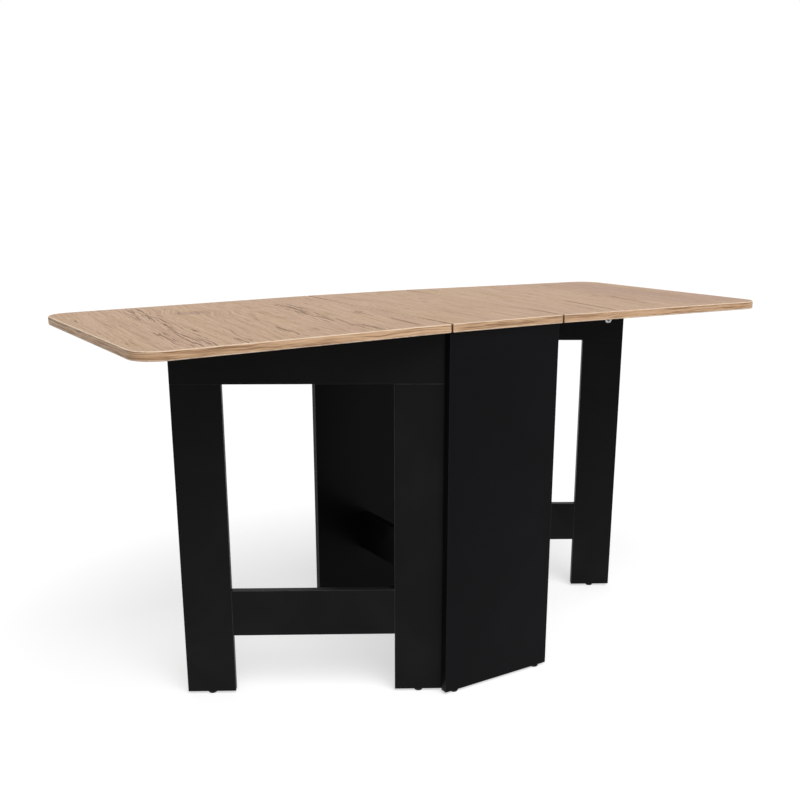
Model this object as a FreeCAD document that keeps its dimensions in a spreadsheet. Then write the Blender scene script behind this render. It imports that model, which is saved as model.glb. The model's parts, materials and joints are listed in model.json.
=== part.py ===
import FreeCAD, Part
import math
import os
import Sketcher

# Drop-leaf table with two swing gates, open, in millimetres.
# X runs along the open table, Y across it, Z up from the floor. The origin is on the floor
# under the middle of the centre board. The rear right quarter is worked out with positive
# sizes, and the front left one is the same thing turned by half a turn about Z.

doc = FreeCAD.newDocument("DropLeafTable")

# Driving sizes, angles in degrees
SIZES = {
    # overall
    "table_height": "750",
    "table_depth": "580",
    "centre_width": "260",
    "leaf_length": "581",
    "leaf_gap": "4",
    "board": "16",
    "corner_radius": "50",
    "edge_band": "2",
    "edge_round": "1.5",
    "arris": "0.8",
    # end panels and stretchers
    "panel_inset": "0.2",
    "panel_overhang": "10",
    "stretcher_height": "94",
    "lower_stretcher_z": "126",
    # gates
    "gate_leg_width": "96",
    "gate_rail_height": "95",
    "gate_rail_z": "127",
    "gate_open": "59.2",
    "gate_end_gap": "9",
    "gate_pin_inset": "6.5",
    "gate_setback": "1",
    "gate_clearance": "0.5",
    "rest_gap": "0.3",
    # hinges
    "hinge_plate": "1.5",
    "knuckle_gap": "0.3",
    "knuckle_relief": "0.6",
    "pin_play": "0.05",
    "pin_end": "0.6",
    "leaf_barrel": "4",
    "leaf_pin": "2.2",
    "leaf_hinge_length": "50",
    "leaf_plate_reach": "24",
    "leaf_screw_row": "14",
    "leaf_screw_pitch": "17",
    "leaf_hinge_inset": "74",
    "gate_barrel": "5",
    "gate_pin": "2.4",
    "gate_hinge_length": "60",
    "gate_screw_pitch": "22",
    "gate_hinge_inset": "90",
    # fasteners
    "fit_gap": "0.05",
    "screw_head": "6",
    "screw_shank": "3",
    "screw_point": "3",
    "screw_cover": "4",
    "screw_slot_length": "3.6",
    "screw_slot_width": "0.9",
    "screw_slot_depth": "1.4",
    "face_cover": "5",
    "dowel_diameter": "8",
    "dowel_socket": "20",
    "dowel_chamfer": "1",
    "dowel_pitch": "32",
    "cam_diameter": "15",
    "cam_floor": "3.5",
    "cam_setback": "34",
    "gate_cam_setback": "49",
    "gate_cam_offset": "11",
    "cam_socket": "5",
    "cam_socket_depth": "3",
    "cam_slot_length": "9",
    "cam_slot_width": "1.6",
    "bolt_shaft": "7",
    "bolt_neck": "4.5",
    "bolt_neck_length": "4.5",
    "bolt_head_length": "3",
    "bolt_thread": "5",
    "top_cam_spread": "64",
    "stretcher_dowel_spread": "130",
    # feet
    "glide_height": "5",
    "glide_diameter": "18",
    "glide_round": "3.5",
    "glide_peg": "5",
    "glide_peg_length": "14",
    "glide_inset": "25",
    # stop block under each leaf
    "stop_reach": "400",
    "stop_length": "44",
    "stop_width": "14",
    "stop_height": "10",
    "stop_screw_pitch": "24",
}

# Places worked out from the driving sizes
PLAN = {
    "under_top": "Size.table_height - Size.board",
    "half_depth": "Size.table_depth / 2",
    "panel_outer": "half_depth - Size.panel_overhang",
    "panel_inner": "panel_outer - Size.board",
    "panel_mid": "panel_inner + Size.board / 2",
    "panel_half": "Size.centre_width / 2 - Size.panel_inset",
    "upper_stretcher_z": "under_top - Size.stretcher_height",
    "leaf_barrel_radius": "Size.leaf_barrel / 2",
    "leaf_pin_x": "Size.centre_width / 2 + Size.leaf_gap / 2",
    "leaf_pin_z": "under_top - leaf_barrel_radius",
    "leaf_hinge_y": "panel_inner - Size.leaf_hinge_inset",
    "gate_barrel_radius": "Size.gate_barrel / 2",
    "gate_pin_x": "panel_half - Size.gate_pin_inset",
    "gate_pin_y": "panel_inner - gate_barrel_radius",
    "gate_length": "2 * panel_inner - Size.gate_barrel - Size.gate_end_gap",
    "gate_start": "gate_barrel_radius",
    "gate_end": "gate_start + gate_length",
    "gate_window_start": "gate_start + Size.gate_leg_width",
    "gate_window_end": "gate_end - Size.gate_leg_width",
    "gate_outer_face": "-Size.gate_setback",
    "gate_inner_face": "gate_outer_face - Size.board",
    "gate_mid": "gate_outer_face - Size.board / 2",
    "gate_screw_row": "Size.gate_setback + Size.board / 2",
    "gate_plate_reach": "Size.gate_setback + Size.board - Size.arris",
    "gate_top": "under_top - Size.leaf_barrel - Size.gate_clearance",
    "gate_joint": "gate_top - Size.gate_rail_height",
    "gate_rail_mid": "Size.gate_rail_z + Size.gate_rail_height / 2",
    "gate_yaw": "270 + Size.gate_open",
    "gate_corner_x": "gate_pin_x + cos(gate_yaw) * gate_end - sin(gate_yaw) * gate_outer_face",
    "gate_drop": "Size.leaf_barrel + Size.gate_clearance - Size.rest_gap",
    "droop": "asin(gate_drop / (gate_corner_x - leaf_pin_x))",
    "low_hinge_z": "Size.glide_height + Size.gate_hinge_inset",
    "high_hinge_z": "gate_joint - Size.gate_hinge_inset",
    "mid_hinge_z": "(low_hinge_z + high_hinge_z) / 2",
    "cam_depth": "Size.board - Size.cam_floor",
    "face_bite": "Size.board - Size.face_cover",
    "screw_length": "Size.hinge_plate + Size.board - Size.screw_cover",
    "inner_cam_x": "gate_start + Size.gate_leg_width / 2 - Size.gate_cam_offset",
    "outer_cam_x": "gate_end - Size.gate_leg_width / 2 + Size.gate_cam_offset",
    "stop_face": "gate_outer_face + Size.rest_gap",
    "stop_mid": "stop_face + Size.stop_width / 2",
    "stop_base_x": "gate_pin_x - leaf_pin_x",
}


def fill_sheet(name, rows, lead):
    sheet = doc.addObject("Spreadsheet::Sheet", name)
    for row, (alias, content) in enumerate(rows.items(), start=1):
        sheet.set("A%d" % row, alias)
        sheet.set("B%d" % row, lead + content)
        sheet.setAlias("B%d" % row, alias)
    doc.recompute()
    return sheet


size = fill_sheet("Size", SIZES, "")
fill_sheet("Plan", PLAN, "=")

# Turns as yaw, pitch and roll, each sending a piece's own +Z along the named direction
LEVEL = ("0", "0", "0")
TO_X = ("0", "90", "0")
TO_MINUS_X = ("0", "-90", "0")
TO_Y = ("0", "0", "-90")
TO_MINUS_Y = ("0", "0", "90")
TO_Z = LEVEL
TO_MINUS_Z = ("0", "180", "0")

# Frames that the pieces are made in: where the origin lies, and how it is turned
CENTRE = (("0", "0", "0"), LEVEL)
REAR = CENTRE
FRONT = (("0", "0", "0"), ("180", "0", "0"))
RIGHT_LEAF = (("Plan.leaf_pin_x", "0", "Plan.leaf_pin_z"), ("0", "Plan.droop", "0"))
LEFT_LEAF = (("-Plan.leaf_pin_x", "0", "Plan.leaf_pin_z"), ("180", "Plan.droop", "0"))
RIGHT_GATE = (("Plan.gate_pin_x", "Plan.gate_pin_y", "0"), ("Plan.gate_yaw", "0", "0"))
LEFT_GATE = (("-Plan.gate_pin_x", "-Plan.gate_pin_y", "0"), ("Plan.gate_yaw + 180", "0", "0"))

KNUCKLES = 5
TINY = 0.001
nodes = []


def number(formula):
    return float(size.evalExpression(formula))


def bind(thing, **formulas):
    for name, formula in formulas.items():
        thing.setExpression(name, formula)


def place(thing, at, turn=LEVEL):
    spot = "create(<<vector>>; %s; %s; %s)" % at
    spin = "create(<<rotation>>; %s; %s; %s)" % turn
    thing.setExpression("Placement", "create(<<placement>>; %s; %s)" % (spot, spin))


def half_turn(spots):
    turned_spots = []
    for (x, y, z), (yaw, pitch, roll) in spots:
        turned_spots.append((("-(%s)" % x, "-(%s)" % y, z), ("180 + %s" % yaw, pitch, roll)))
    return turned_spots


def both_ways(spots):
    return spots + half_turn(spots)


# Solids


def block(name, length, width, height, at, turn=LEVEL):
    solid = doc.addObject("Part::Box", name)
    bind(solid, Length=length, Width=width, Height=height)
    place(solid, at, turn)
    return solid


def rod(name, diameter, height, at, turn=LEVEL):
    solid = doc.addObject("Part::Cylinder", name)
    bind(solid, Radius="(%s) / 2" % diameter, Height=height)
    place(solid, at, turn)
    return solid


def gather(name, pieces):
    group = doc.addObject("Part::Compound", name)
    group.Links = pieces
    return group


def join(name, pieces):
    solid = doc.addObject("Part::MultiFuse", name)
    solid.Shapes = pieces
    return solid


def cut(name, base, tools):
    solid = doc.addObject("Part::Cut", name)
    solid.Base = base
    solid.Tool = gather(name + "_tools", tools)
    return solid


def shared(name, first, second):
    solid = doc.addObject("Part::Common", name)
    solid.Base = first
    solid.Tool = second
    return solid


def origin_plane(body, role):
    return [plane for plane in body.Origin.OriginFeatures if plane.Role == role][0]


def new_sketch(body, name, role):
    sketch = body.newObject("Sketcher::SketchObject", name)
    sketch.AttachmentSupport = (origin_plane(body, role), [""])
    sketch.MapMode = "FlatFace"
    return sketch


def hold(sketch, kind, line, point, formula):
    constraint = Sketcher.Constraint(kind, -1, 1, line, point, number(formula))
    sketch.setExpression("Constraints[%d]" % sketch.addConstraint(constraint), formula)


def turned(name, profile):
    body = doc.addObject("PartDesign::Body", name)
    sketch = new_sketch(body, name + "_profile", "XZ_Plane")
    corners = [FreeCAD.Vector(number(radius), number(height), 0) for radius, height in profile]
    following = corners[1:] + corners[:1]
    for start, end in zip(corners, following):
        sketch.addGeometry(Part.LineSegment(start, end), False)
    for line in range(len(corners)):
        after = (line + 1) % len(corners)
        sketch.addConstraint(Sketcher.Constraint("Coincident", line, 2, after, 1))
    for line, (radius, height) in enumerate(profile):
        hold(sketch, "DistanceX", line, 1, radius)
        hold(sketch, "DistanceY", line, 1, height)
    turn = body.newObject("PartDesign::Revolution", name + "_turn")
    turn.Profile = sketch
    turn.ReferenceAxis = (sketch, ["V_Axis"])
    turn.Angle = 360
    body.Tip = turn
    doc.recompute()
    return body


def rounded(body, name, radius, edge_names=None):
    base = body.Tip
    fillet = body.newObject("PartDesign::Fillet", name)
    fillet.Base = (base, edge_names or [""])
    fillet.UseAllEdges = edge_names is None
    bind(fillet, Radius=radius)
    body.Tip = fillet
    doc.recompute()
    return body


def board(name, length, width, height, at, edge_radius="Size.arris"):
    body = doc.addObject("PartDesign::Body", name)
    slab = body.newObject("PartDesign::AdditiveBox", name + "_slab")
    bind(slab, Length=length, Width=width, Height=height)
    place(slab, at)
    body.Tip = slab
    doc.recompute()
    return rounded(body, name + "_edges", edge_radius)


def leaf_slab(name, inset):
    # Two square corners at the hinge edge and two round ones at the outer edge
    near = "Size.leaf_gap / 2 + %s" % inset
    far = "Size.leaf_gap / 2 + Size.leaf_length - %s" % inset
    half = "Plan.half_depth - %s" % inset
    radius = "Size.corner_radius - %s" % inset
    x_near, x_far = number(near), number(far)
    y_half, r = number(half), number(radius)
    body = doc.addObject("PartDesign::Body", name)
    sketch = new_sketch(body, name + "_outline", "XY_Plane")
    across = FreeCAD.Vector(0, 0, 1)
    rear_centre = FreeCAD.Vector(x_far - r, y_half - r, 0)
    front_centre = FreeCAD.Vector(x_far - r, r - y_half, 0)
    quarter = math.pi / 2
    points = [
        FreeCAD.Vector(x_near, -y_half, 0),
        FreeCAD.Vector(x_far - r, -y_half, 0),
        FreeCAD.Vector(x_far, r - y_half, 0),
        FreeCAD.Vector(x_far, y_half - r, 0),
        FreeCAD.Vector(x_far - r, y_half, 0),
        FreeCAD.Vector(x_near, y_half, 0),
    ]
    sketch.addGeometry(Part.LineSegment(points[0], points[1]), False)
    sketch.addGeometry(Part.ArcOfCircle(Part.Circle(front_centre, across, r), -quarter, 0), False)
    sketch.addGeometry(Part.LineSegment(points[2], points[3]), False)
    sketch.addGeometry(Part.ArcOfCircle(Part.Circle(rear_centre, across, r), 0, quarter), False)
    sketch.addGeometry(Part.LineSegment(points[4], points[5]), False)
    sketch.addGeometry(Part.LineSegment(points[5], points[0]), False)
    front_edge, front_arc, outer_edge, rear_arc, rear_edge, hinge_edge = range(6)
    for line in (front_edge, front_arc, outer_edge, rear_arc):
        sketch.addConstraint(Sketcher.Constraint("Tangent", line, 2, line + 1, 1))
    sketch.addConstraint(Sketcher.Constraint("Coincident", rear_edge, 2, hinge_edge, 1))
    sketch.addConstraint(Sketcher.Constraint("Coincident", hinge_edge, 2, front_edge, 1))
    sketch.addConstraint(Sketcher.Constraint("Horizontal", front_edge))
    sketch.addConstraint(Sketcher.Constraint("Horizontal", rear_edge))
    sketch.addConstraint(Sketcher.Constraint("Vertical", outer_edge))
    sketch.addConstraint(Sketcher.Constraint("Vertical", hinge_edge))
    sketch.addConstraint(Sketcher.Constraint("Equal", front_arc, rear_arc))
    hold(sketch, "DistanceX", hinge_edge, 1, near)
    hold(sketch, "DistanceY", hinge_edge, 1, half)
    hold(sketch, "DistanceY", front_edge, 1, "-(%s)" % half)
    hold(sketch, "DistanceX", outer_edge, 1, far)
    bend = sketch.addConstraint(Sketcher.Constraint("Radius", rear_arc, r))
    sketch.setExpression("Constraints[%d]" % bend, radius)
    pad = body.newObject("PartDesign::Pad", name + "_pad")
    pad.Profile = sketch
    bind(pad, Length="Size.board")
    body.Tip = pad
    place(body, ("0", "0", "Plan.leaf_barrel_radius"))
    doc.recompute()
    return body


# Copies and finished sub-parts


def copies(name, source, spots):
    links = []
    for index, (at, turn) in enumerate(spots, start=1):
        link = doc.addObject("App::Link", "%s_%d" % (name, index))
        link.LinkedObject = source
        place(link, at, turn)
        links.append(link)
    return links


def finish_node(label, pieces, frame=CENTRE):
    group = gather(label, pieces)
    group.Label = label
    place(group, *frame)
    nodes.append(group)


def finish_copies(label, source, spots, frame=CENTRE):
    finish_node(label, copies(label + "_piece", source, spots), frame)


def finish_copy(label, source, frame):
    finish_copies(label, source, [CENTRE], frame)


# Fasteners and feet, each in a frame of its own


def make_cross(name, length, width, depth):
    # Recess for a cross-point driver, open on the plane z = 0
    half_long = "-%s / 2" % length
    half_wide = "-%s / 2" % width
    along = block(name + "_along", length, width, depth, (half_long, half_wide, "0"))
    across = block(name + "_across", width, length, depth, (half_wide, half_long, "0"))
    return join(name, [along, across])


def peg_profile(radius, low, high, chamfer):
    return [
        ("0", low),
        ("%s - %s" % (radius, chamfer), low),
        (radius, "%s + %s" % (low, chamfer)),
        (radius, "%s - %s" % (high, chamfer)),
        ("%s - %s" % (radius, chamfer), high),
        ("0", high),
    ]


def make_screw_blank(name, grow):
    # Countersunk wood screw: the head is flush in its plate, and +Z goes into the board
    shank = "Size.screw_shank / 2 + %s" % grow
    return turned(name, [
        ("0", "0"),
        ("Size.screw_head / 2 + %s" % grow, "0"),
        (shank, "Size.hinge_plate"),
        (shank, "Plan.screw_length - Size.screw_point"),
        ("0", "Plan.screw_length + %s" % grow),
    ])


def make_screw(name):
    recess = make_cross(name + "_recess", "Size.screw_slot_length", "Size.screw_slot_width",
                        "Size.screw_slot_depth")
    return cut(name, make_screw_blank(name + "_blank", "0"), [recess])


def make_dowel(name, grow):
    # -Z goes into the face of one board, +Z into the end of the other
    radius = "Size.dowel_diameter / 2 + %s" % grow
    low = "-Plan.face_bite - %s" % grow
    high = "Size.dowel_socket + %s" % grow
    return turned(name, peg_profile(radius, low, high, "Size.dowel_chamfer"))


def make_pin(name, diameter, length):
    high = "%s / 2 + Size.pin_end" % length
    return turned(name, peg_profile("%s / 2" % diameter, "-(%s)" % high, high, "Size.pin_end"))


def make_glide(name, grow):
    # Push-in foot: the peg goes up into the board, and the worn bottom stays flat
    foot = "Size.glide_diameter / 2"
    peg = "Size.glide_peg / 2 + %s" % grow
    top = "Size.glide_peg_length + %s" % grow
    glide = turned(name, [
        ("0", "-Size.glide_height"),
        (foot, "-Size.glide_height"),
        (foot, "0"),
        (peg, "0"),
        (peg, top),
        ("0", top),
    ])
    bottom = number("-Size.glide_height")
    rim = number(foot)
    rim_edges = []
    for index, edge in enumerate(glide.Tip.Shape.Edges, start=1):
        box = edge.BoundBox
        if abs(box.ZMax - bottom) < TINY and abs(box.XMax - rim) < TINY:
            rim_edges.append("Edge%d" % index)
    return rounded(glide, name + "_dome", "Size.glide_round", rim_edges)


# A cam joint has its origin on the board's face at the middle of the cam. +Z goes into the
# board, and +X runs along the bolt to the joint and on into the other board.

BOLT_LINE = ("0", "0", "Size.board / 2")


def make_cam(name):
    barrel = rod(name + "_barrel", "Size.cam_diameter", "Plan.cam_depth", ("0", "0", "0"))
    bore = rod(name + "_bore", "Size.bolt_shaft + 2 * Size.fit_gap", "Size.cam_diameter",
               ("-Size.bolt_head_length", "0", "Size.board / 2"), TO_X)
    socket = rod(name + "_socket", "Size.cam_socket", "Size.cam_socket_depth", ("0", "0", "0"))
    slots = make_cross(name + "_slots", "Size.cam_slot_length", "Size.cam_slot_width",
                       "Size.cam_socket_depth")
    return cut(name, barrel, [bore, join(name + "_recess", [socket, slots])])


def make_bolt(name, setback):
    head = "Size.bolt_shaft / 2"
    neck = "Size.bolt_neck / 2"
    thread = "Size.bolt_thread / 2"
    head_end = "Size.bolt_head_length / 2"
    shoulder = "Size.bolt_head_length / 2 + Size.bolt_neck_length"
    tip = "%s + Plan.face_bite" % setback
    turned_bolt = turned(name + "_turned", [
        ("0", "-(%s)" % head_end),
        (head, "-(%s)" % head_end),
        (head, head_end),
        (neck, head_end),
        (neck, shoulder),
        (head, shoulder),
        (head, setback),
        (thread, setback),
        (thread, tip),
        ("0", tip),
    ])
    return gather(name, copies(name + "_laid", turned_bolt, [(BOLT_LINE, TO_X)]))


def make_cam_drill(name, setback):
    pocket = rod(name + "_pocket", "Size.cam_diameter + 2 * Size.fit_gap",
                 "Plan.cam_depth + Size.fit_gap", ("0", "0", "0"))
    channel = rod(name + "_channel", "Size.bolt_shaft + 2 * Size.fit_gap", setback, BOLT_LINE, TO_X)
    thread = rod(name + "_thread", "Size.bolt_thread + 2 * Size.fit_gap",
                 "%s + Plan.face_bite + Size.fit_gap" % setback, BOLT_LINE, TO_X)
    return join(name, [pocket, channel, thread])


screw = make_screw("Screw")
screw_drill = make_screw_blank("Screw_drill", "Size.fit_gap")
dowel = make_dowel("Dowel", "0")
dowel_drill = make_dowel("Dowel_drill", "Size.fit_gap")
glide = make_glide("Glide", "0")
glide_drill = make_glide("Glide_drill", "Size.fit_gap")
cam = make_cam("Cam")
bolt = make_bolt("Bolt", "Size.cam_setback")
cam_drill = make_cam_drill("Cam_drill", "Size.cam_setback")
gate_bolt = make_bolt("Gate_bolt", "Size.gate_cam_setback")
gate_cam_drill = make_cam_drill("Gate_cam_drill", "Size.gate_cam_setback")

# Butt hinges. The pin lies along Z through the origin, the plate reaches out along +X, and its
# back lies on the plane y = -barrel / 2. The knuckles of the two plates alternate.


def three_along(middle, step):
    return ["%s - %s" % (middle, step), middle, "%s + %s" % (middle, step)]


def make_hinge_plate(name, kind, own_knuckles):
    length = kind["length"]
    half = "(%s) / 2" % length
    barrel = kind["barrel"]
    reach_out = "%s / 2 + Size.knuckle_relief" % barrel
    foot = ("0", "0", "-%s" % half)
    plate = block(name + "_plate", kind["reach"], "Size.hinge_plate", length,
                  ("0", "-%s / 2" % barrel, "-%s" % half))
    tube = rod(name + "_tube", barrel, length, foot)
    relief = [rod(name + "_bore", "%s + 2 * Size.pin_play" % kind["pin"], length, foot)]
    for knuckle in range(KNUCKLES):
        if knuckle not in own_knuckles:
            start = "%d * %s / %d - %s - Size.knuckle_gap / 2" % (knuckle, length, KNUCKLES, half)
            tall = "%s / %d + Size.knuckle_gap" % (length, KNUCKLES)
            wide = "2 * (%s)" % reach_out
            corner = ("-(%s)" % reach_out, "-(%s)" % reach_out, start)
            relief.append(block("%s_relief_%d" % (name, knuckle), wide, wide, tall, corner))
    face = "Size.hinge_plate - %s / 2" % barrel
    spots = [((kind["row"], face, z), TO_MINUS_Y) for z in three_along("0", kind["pitch"])]
    holes = copies(name + "_hole", screw_drill, spots)
    blank = join(name + "_blank", [plate, tube])
    return cut(name, blank, [join(name + "_reliefs", relief)] + holes)


LEAF_HINGE = {
    "length": "Size.leaf_hinge_length",
    "barrel": "Size.leaf_barrel",
    "pin": "Size.leaf_pin",
    "reach": "Size.leaf_plate_reach",
    "row": "Size.leaf_screw_row",
    "pitch": "Size.leaf_screw_pitch",
}
GATE_HINGE = {
    "length": "Size.gate_hinge_length",
    "barrel": "Size.gate_barrel",
    "pin": "Size.gate_pin",
    "reach": "Plan.gate_plate_reach",
    "row": "Plan.gate_screw_row",
    "pitch": "Size.gate_screw_pitch",
}
FIXED_KNUCKLES = (0, 2, 4)
MOVING_KNUCKLES = (1, 3)

leaf_hinge_fixed = make_hinge_plate("Leaf_hinge_fixed", LEAF_HINGE, FIXED_KNUCKLES)
leaf_hinge_moving = make_hinge_plate("Leaf_hinge_moving", LEAF_HINGE, MOVING_KNUCKLES)
leaf_hinge_pin = make_pin("Leaf_hinge_pin", "Size.leaf_pin", "Size.leaf_hinge_length")
gate_hinge_fixed = make_hinge_plate("Gate_hinge_fixed", GATE_HINGE, FIXED_KNUCKLES)
gate_hinge_moving = make_hinge_plate("Gate_hinge_moving", GATE_HINGE, MOVING_KNUCKLES)
gate_hinge_pin = make_pin("Gate_hinge_pin", "Size.gate_pin", "Size.gate_hinge_length")

leaf_hinge_rows = three_along("0", "Plan.leaf_hinge_y")
gate_hinge_rows = ["Plan.low_hinge_z", "Plan.mid_hinge_z", "Plan.high_hinge_z"]

# Pedestal: centre board, end panels and stretchers

right_leaf_hinges = []
right_leaf_pins = []
right_centre_screws = []
for y in leaf_hinge_rows:
    at = ("Plan.leaf_pin_x", y, "Plan.leaf_pin_z")
    right_leaf_hinges.append((at, ("180", "0", "-90")))
    right_leaf_pins.append((at, TO_Y))
    for screw_y in three_along(y, "Size.leaf_screw_pitch"):
        at = ("Plan.leaf_pin_x - Size.leaf_screw_row", screw_y, "Plan.under_top - Size.hinge_plate")
        right_centre_screws.append((at, TO_Z))

rear_gate_hinges = []
rear_gate_pins = []
rear_panel_screws = []
for z in gate_hinge_rows:
    at = ("Plan.gate_pin_x", "Plan.gate_pin_y", z)
    rear_gate_hinges.append((at, ("180", "0", "0")))
    rear_gate_pins.append((at, TO_Z))
    for screw_z in three_along(z, "Size.gate_screw_pitch"):
        at = ("Plan.gate_pin_x - Plan.gate_screw_row", "Plan.panel_inner - Size.hinge_plate", screw_z)
        rear_panel_screws.append((at, TO_Y))

STRETCHERS = {
    "lower_stretcher": "Size.lower_stretcher_z",
    "upper_stretcher": "Plan.upper_stretcher_z",
}
stretcher_cams = []
rear_stretcher_dowels = []
for bottom in STRETCHERS.values():
    middle = "%s + Size.stretcher_height / 2" % bottom
    cam_y = "Plan.panel_inner - Size.cam_setback"
    stretcher_cams.append((("Size.board / 2", cam_y, middle), ("90", "0", "-90")))
    stretcher_cams.append((("Size.board / 2", "-(%s)" % cam_y, middle), ("-90", "0", "90")))
    for z in ("%s - Size.dowel_pitch" % middle, "%s + Size.dowel_pitch" % middle):
        rear_stretcher_dowels.append((("0", "Plan.panel_inner", z), TO_MINUS_Y))

rear_top_cams = []
rear_top_dowels = [(("0", "Size.stretcher_dowel_spread", "Plan.under_top"), TO_MINUS_Z)]
rear_glides = []
for side in ("", "-"):
    cam_x = "%sSize.top_cam_spread" % side
    dowel_x = "%s(Size.top_cam_spread + Size.dowel_pitch)" % side
    glide_x = "%s(Plan.panel_half - Size.glide_inset)" % side
    cam_z = "Plan.under_top - Size.cam_setback"
    rear_top_cams.append(((cam_x, "Plan.panel_inner", cam_z), ("-90", "-90", "0")))
    rear_top_dowels.append(((dowel_x, "Plan.panel_mid", "Plan.under_top"), TO_MINUS_Z))
    rear_glides.append(((glide_x, "Plan.panel_mid", "Size.glide_height"), TO_Z))

centre_screws = both_ways(right_centre_screws)
panel_screws = both_ways(rear_panel_screws)
stretcher_dowels = both_ways(rear_stretcher_dowels)
top_cams = both_ways(rear_top_cams)
top_dowels = both_ways(rear_top_dowels)
panel_glides = both_ways(rear_glides)

pedestal_drills = copies("Pedestal_screw_drill", screw_drill, centre_screws + panel_screws)
pedestal_drills += copies("Pedestal_dowel_drill", dowel_drill, stretcher_dowels + top_dowels)
pedestal_drills += copies("Pedestal_cam_drill", cam_drill, stretcher_cams + top_cams)
pedestal_drills += copies("Pedestal_glide_drill", glide_drill, panel_glides)

end_panel_blank = board("End_panel_blank", "2 * Plan.panel_half", "Size.board",
                        "Plan.under_top - Size.glide_height",
                        ("-Plan.panel_half", "Plan.panel_inner", "Size.glide_height"))
end_panel = cut("End_panel", end_panel_blank, pedestal_drills)
finish_copy("front_end_panel", end_panel, FRONT)
finish_copy("rear_end_panel", end_panel, REAR)

for label, bottom in STRETCHERS.items():
    blank = board(label + "_blank", "Size.board", "2 * Plan.panel_inner", "Size.stretcher_height",
                  ("-Size.board / 2", "-Plan.panel_inner", bottom))
    finish_copy(label, cut(label + "_drilled", blank, pedestal_drills), CENTRE)

centre_blank = board("Centre_blank", "Size.centre_width", "Size.table_depth", "Size.board",
                     ("-Size.centre_width / 2", "-Plan.half_depth", "Plan.under_top"), "Size.edge_round")
centre_core = block("Centre_core", "Size.centre_width - 2 * Size.edge_band",
                    "Size.table_depth - 2 * Size.edge_band", "Size.board",
                    ("Size.edge_band - Size.centre_width / 2", "Size.edge_band - Plan.half_depth",
                     "Plan.under_top"))
finish_copy("centre_top", cut("Centre_board", centre_core, pedestal_drills), CENTRE)

centre_ring = cut("Centre_ring", centre_blank, [centre_core])
side_zones = []
for name, x in (("Left", "-Size.centre_width / 2"), ("Right", "Size.centre_width / 2 - Size.edge_band")):
    side_zones.append(block(name + "_edge_zone", "Size.edge_band", "Size.table_depth", "Size.board",
                            (x, "-Plan.half_depth", "Plan.under_top")))
long_strips = shared("Centre_long_strips", centre_ring, gather("Centre_side_zones", side_zones))
short_strips = cut("Centre_short_strips", centre_ring, side_zones)
finish_node("centre_top_edge_band", [long_strips, short_strips])

finish_copies("end_panel_glides", glide, panel_glides)
finish_copies("stretcher_cams", cam, stretcher_cams)
finish_copies("stretcher_cam_bolts", bolt, stretcher_cams)
finish_copies("stretcher_dowels", dowel, stretcher_dowels)
finish_copies("top_cams", cam, top_cams)
finish_copies("top_cam_bolts", bolt, top_cams)
finish_copies("top_dowels", dowel, top_dowels)
finish_copies("centre_top_hinge_screws", screw, centre_screws)
finish_copies("end_panel_hinge_screws", screw, panel_screws)
for side, frame in (("left", FRONT), ("right", REAR)):
    finish_copies(side + "_leaf_hinge_centre_plates", leaf_hinge_fixed, right_leaf_hinges, frame)
    finish_copies(side + "_leaf_hinge_pins", leaf_hinge_pin, right_leaf_pins, frame)
    finish_copies(side + "_gate_hinge_panel_plates", gate_hinge_fixed, rear_gate_hinges, frame)
    finish_copies(side + "_gate_hinge_pins", gate_hinge_pin, rear_gate_pins, frame)

# Leaves. The origin is on the hinge pin, +X runs out along the leaf, and the leaf tips down a
# little, because it rests on the gate, which has to pass under the hinge barrels.

leaf_hinges = []
leaf_screws = []
for y in leaf_hinge_rows:
    leaf_hinges.append((("0", y, "0"), ("0", "0", "-90")))
    for screw_y in three_along(y, "Size.leaf_screw_pitch"):
        at = ("Size.leaf_screw_row", screw_y, "Plan.leaf_barrel_radius - Size.hinge_plate")
        leaf_screws.append((at, TO_Z))

# Stop block, made along the open gate from the gate's pin, with its top on the leaf
STOP_FRAME = (
    ("Plan.stop_base_x", "Plan.gate_pin_y", "Plan.leaf_barrel_radius"),
    ("Plan.gate_yaw", "0", "0"),
)
stop_screws = []
stop_holes = []
for x in ("Size.stop_reach - Size.stop_screw_pitch / 2", "Size.stop_reach + Size.stop_screw_pitch / 2"):
    stop_screws.append(((x, "Plan.stop_mid", "-Size.hinge_plate"), TO_Z))
    stop_holes.append(rod("Stop_counterbore", "Size.screw_head + 2 * Size.fit_gap",
                          "Size.stop_height - Size.hinge_plate", (x, "Plan.stop_mid", "-Size.stop_height")))
stop_drills = copies("Stop_drill", screw_drill, stop_screws)
stop_blank = board("Stop_blank", "Size.stop_length", "Size.stop_width", "Size.stop_height",
                   ("Size.stop_reach - Size.stop_length / 2", "Plan.stop_face", "-Size.stop_height"))
stop = cut("Stop", stop_blank, [join("Stop_holes", stop_holes + stop_drills)])
stop_screw_pair = gather("Stop_screw_pair", copies("Stop_screw", screw, stop_screws))
stop_drill_pair = gather("Stop_drill_pair", stop_drills)

leaf_core = leaf_slab("Leaf_core", "Size.edge_band")
leaf_blank = rounded(leaf_slab("Leaf_blank", "0"), "Leaf_blank_edges", "Size.edge_round")
leaf_ring = cut("Leaf_ring", leaf_blank, [leaf_core])
hinge_edge_zone = block("Hinge_edge_zone", "Size.leaf_gap / 2 + Size.edge_band", "Size.table_depth",
                        "Plan.leaf_barrel_radius + Size.board", ("0", "-Plan.half_depth", "0"))
hinge_strip = shared("Leaf_hinge_strip", leaf_ring, hinge_edge_zone)
wrap_strip = cut("Leaf_wrap_strip", leaf_ring, [hinge_edge_zone])
leaf_band = gather("Leaf_band", [hinge_strip, wrap_strip])

leaf_drills = copies("Leaf_screw_drill", screw_drill, leaf_screws)
leaf_drills += copies("Leaf_stop_drill", stop_drill_pair, [STOP_FRAME])
leaf = cut("Leaf", leaf_core, leaf_drills)

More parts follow.
